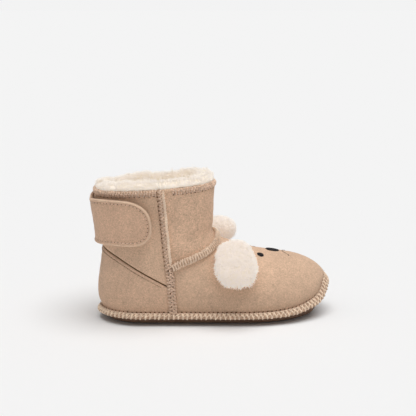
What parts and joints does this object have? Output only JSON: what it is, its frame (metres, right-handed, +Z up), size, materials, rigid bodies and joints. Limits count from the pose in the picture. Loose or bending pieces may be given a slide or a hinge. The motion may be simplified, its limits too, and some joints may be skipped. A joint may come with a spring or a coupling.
{
  "type": "baby bootie",
  "caption": "Soft baby bootie in suede with sheepskin lining, a rear opening closed by a wrap strap, overlocked sole seam, and an animal face with hanging fleece ears.",
  "frame": {"origin": "on the floor, at the middle of the sole's flat underside", "axes": "+X towards the toe, +Z up, -Y towards the outer side of the foot, where the strap closes"},
  "size_m": [0.1274, 0.0692, 0.0764],
  "materials": {
    "suede_vamp": "napped suede, sand beige, matte",
    "suede_shaft": "napped suede, dusty tan, matte",
    "suede_sole": "napped suede, slightly darker underside",
    "overlock": "wrapped overlock thread over a suede edge",
    "seam_suede": "lapped suede with thread",
    "thread": "twisted polyester thread",
    "shadow_thread": "twisted brown thread",
    "fleece": "curly cream sheepskin pile",
    "ear_fleece": "long loose cream sheepskin pile",
    "foam": "soft foam sheet",
    "hook_tape": "hook tape, beige",
    "loop_tape": "loop tape, beige",
    "face_thread": "dense black satin stitch"
  },
  "bodies": {
    "upper": {"outsole": "suede_sole", "midsole_pad": "foam", "footbed": "fleece", "sole_seam_welt": "overlock", "vamp": "suede_vamp", "vamp_lining": "fleece", "heel_panel": "suede_shaft", "heel_lining": "fleece", "shaft_front": "suede_shaft", "shaft_front_lining": "fleece", "outer_side_seam": "seam_suede", "inner_side_seam": "seam_suede", "vamp_seam": "overlock", "front_collar_stitch": "overlock", "heel_edge_stitch": "shadow_thread", "nose": "face_thread", "outer_eye": "face_thread", "inner_eye": "face_thread", "mouth_stitch": "face_thread"},
    "outer_flap": {"outer_flap_panel": "suede_shaft", "outer_flap_lining": "fleece", "outer_flap_collar_stitch": "overlock", "loop_patch": "loop_tape"},
    "inner_flap": {"inner_flap_panel": "suede_shaft", "inner_flap_lining": "fleece", "inner_flap_collar_stitch": "overlock"},
    "strap_base": {"strap_base": "suede_shaft", "strap_base_backing": "suede_shaft"},
    "strap_tab": {"strap_tab": "suede_shaft", "strap_tab_backing": "suede_shaft", "hook_patch": "hook_tape", "strap_edge_stitch": "thread"},
    "outer_ear": {"outer_ear_fleece": "ear_fleece", "outer_ear_leaf": "suede_vamp"},
    "inner_ear": {"inner_ear_fleece": "ear_fleece", "inner_ear_leaf": "suede_vamp"}
  },
  "joints": [
    {"name": "strap_peel", "type": "hinge", "parent": "strap_base", "child": "strap_tab", "pos_m": [-0.0645, 0, 0.0524], "axis": [0.1029, 0, -0.9947], "range_deg": [0, 100]},
    {"name": "strap_swing", "type": "hinge", "parent": "upper", "child": "strap_base", "pos_m": [-0.03, 0.0249, 0.054], "axis": [0.0965, 0, -0.9953], "range_deg": [0, 60]},
    {"name": "outer_flap_swing", "type": "hinge", "parent": "upper", "child": "outer_flap", "pos_m": [-0.02854, -0.02245, 0.045], "axis": [-0.0919, 0, 0.9958], "range_deg": [0, 32]},
    {"name": "inner_flap_swing", "type": "hinge", "parent": "upper", "child": "inner_flap", "pos_m": [-0.02854, 0.02245, 0.045], "axis": [0.0919, 0, -0.9958], "range_deg": [0, 32]},
    {"name": "outer_ear_lift", "type": "hinge", "parent": "upper", "child": "outer_ear", "pos_m": [0.0066, -0.0132, 0.0406], "axis": [-1, 0, 0], "range_deg": [0, 50]},
    {"name": "inner_ear_lift", "type": "hinge", "parent": "upper", "child": "inner_ear", "pos_m": [0.0066, 0.0132, 0.0406], "axis": [1, 0, 0], "range_deg": [-20, 30]}
  ],
  "couplings": [
    {"joint": "strap_swing", "follows": "strap_peel", "ratio": 0.6},
    {"joint": "outer_flap_swing", "follows": "strap_peel", "ratio": 0.32},
    {"joint": "inner_flap_swing", "follows": "strap_peel", "ratio": 0.32}
  ]
}
